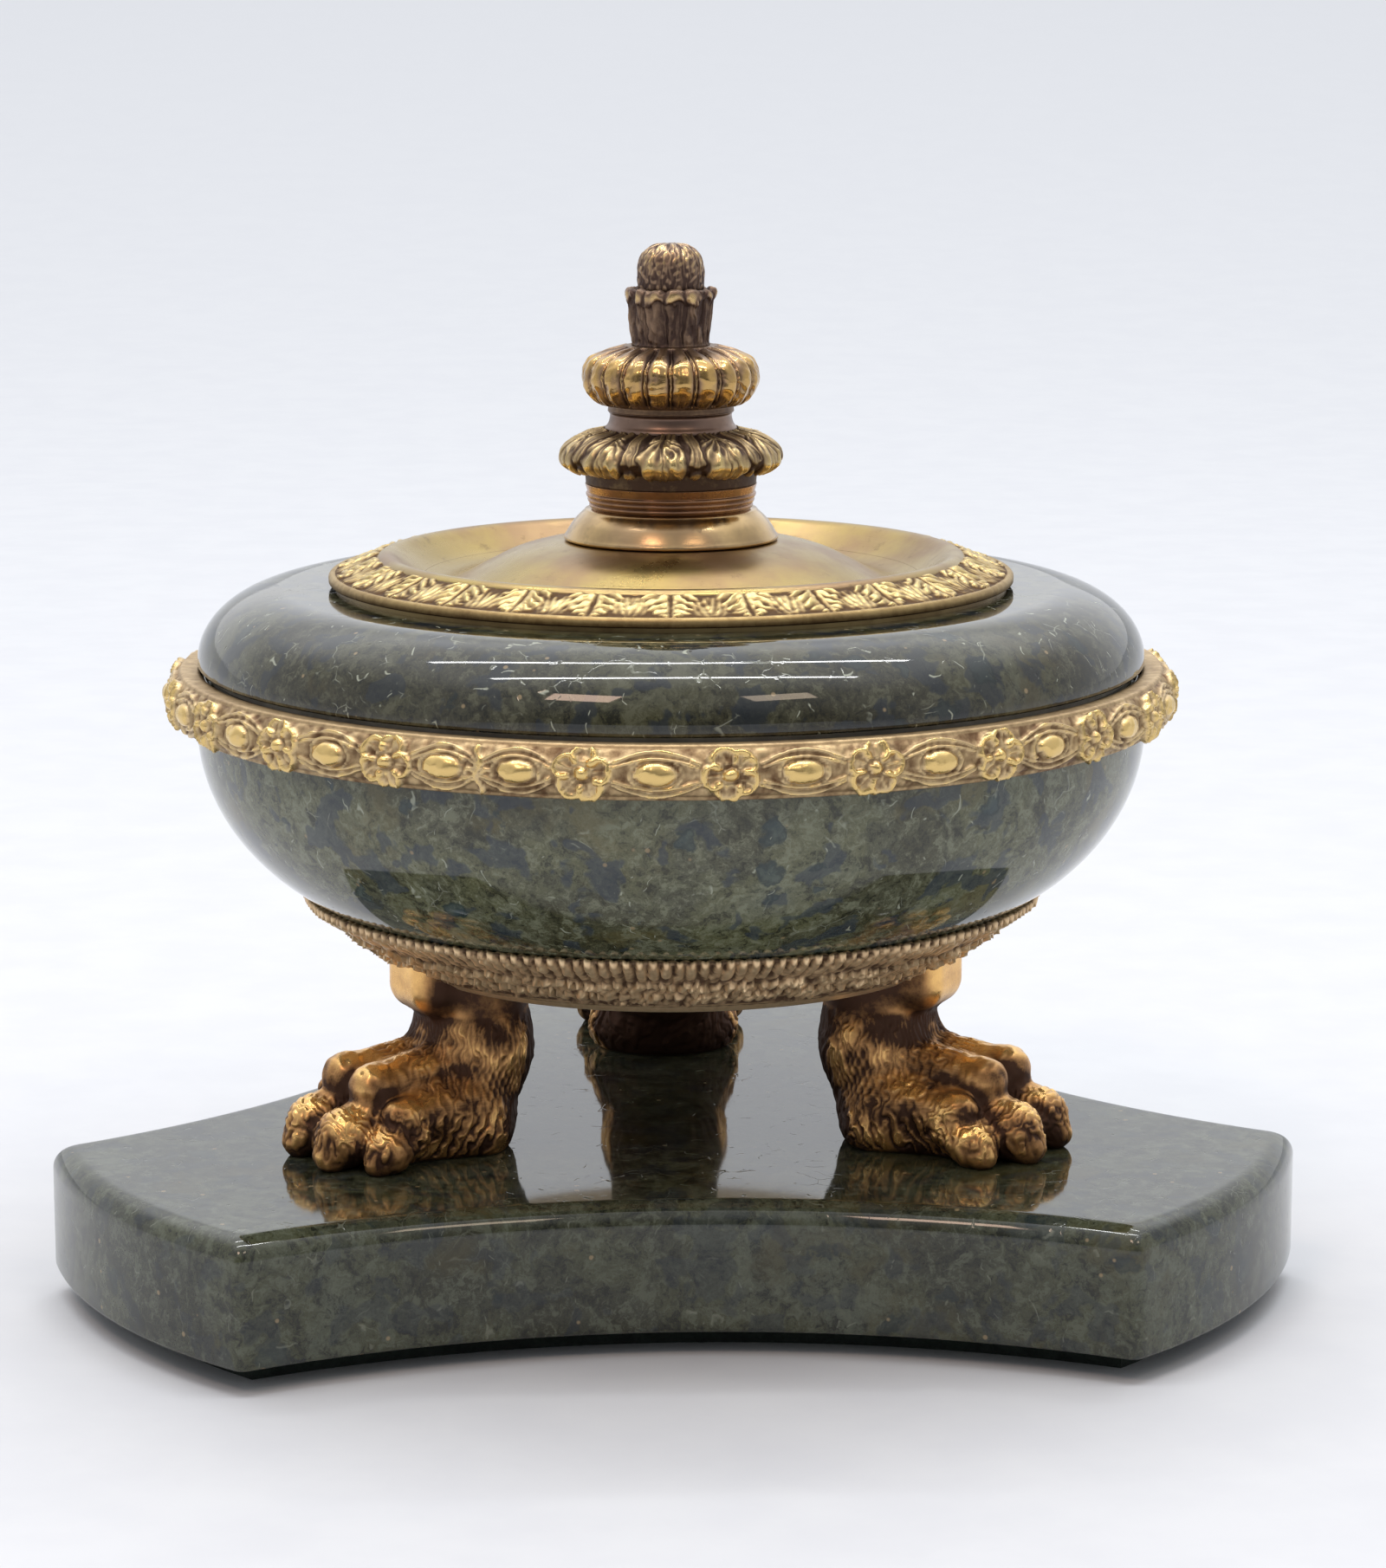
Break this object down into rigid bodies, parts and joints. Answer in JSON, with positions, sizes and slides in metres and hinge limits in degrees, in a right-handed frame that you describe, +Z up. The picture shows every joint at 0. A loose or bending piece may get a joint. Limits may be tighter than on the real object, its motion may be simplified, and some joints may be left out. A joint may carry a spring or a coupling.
{
  "type": "inkwell",
  "caption": "Round marble inkwell bowl with a gilt bronze guilloche band and lift-off lid, held on three lion's paws above a three-sided marble plinth.",
  "frame": {"origin": "on the bowl's vertical axis, in the plane of the table the felt rests on", "axes": "+Z up along the bowl's axis, +Y towards the rear end of the three-sided plinth, +X to the right of somebody facing the middle of the front side"},
  "size_m": [0.1576, 0.144, 0.131],
  "materials": {
    "felt": "matte felt",
    "marble": "polished, with soft reflections",
    "gilt": "bright antique gilding, brown in the recesses",
    "lid_gilt": "satin antique gilding",
    "finial_bronze": "brown bronze with worn gilding on the high places",
    "paw_bronze": "coppery gilt bronze",
    "plate_brass": "rough cast",
    "steel": "aged steel",
    "leather": "plain leather",
    "plaster": "matte",
    "porcelain": "white glaze"
  },
  "bodies": {
    "base": {"felt": "felt", "plinth": "marble", "foot_washers": "steel", "foot_screws": "steel", "paw_left": "paw_bronze", "paw_right": "paw_bronze", "paw_rear": "paw_bronze", "cradle_ring": "paw_bronze", "cradle_plate": "plate_brass", "cradle_screws": "steel", "bowl_leather": "leather", "lower_bowl": "marble", "bowl_bolt": "steel", "bowl_washer": "steel", "bowl_nut": "steel", "band": "gilt", "marble_bed": "plaster", "upper_marble": "marble", "collar": "plate_brass", "liner_gasket": "leather"},
    "liner": {"liner": "porcelain"},
    "lid": {"lid_dish": "lid_gilt", "lid_spigot": "plate_brass", "finial_socle": "finial_bronze", "finial_neck": "finial_bronze", "finial_leaf_collar": "finial_bronze", "finial_upper_neck": "finial_bronze", "finial_knop": "finial_bronze", "finial_calyx": "finial_bronze", "finial_bud": "finial_bronze", "finial_rod": "steel", "lid_washer": "steel", "lid_nut": "steel"}
  },
  "joints": [
    {"name": "lid_lift", "type": "slide", "parent": "base", "child": "lid", "axis": [0, 0, 1], "range_m": [0, 0.12]},
    {"name": "liner_lift", "type": "slide", "parent": "base", "child": "liner", "axis": [0, 0, 1], "range_m": [0, 0.04]}
  ],
  "couplings": [
    {"joint": "liner_lift", "follows": "lid_lift", "ratio": 0.3333}
  ]
}
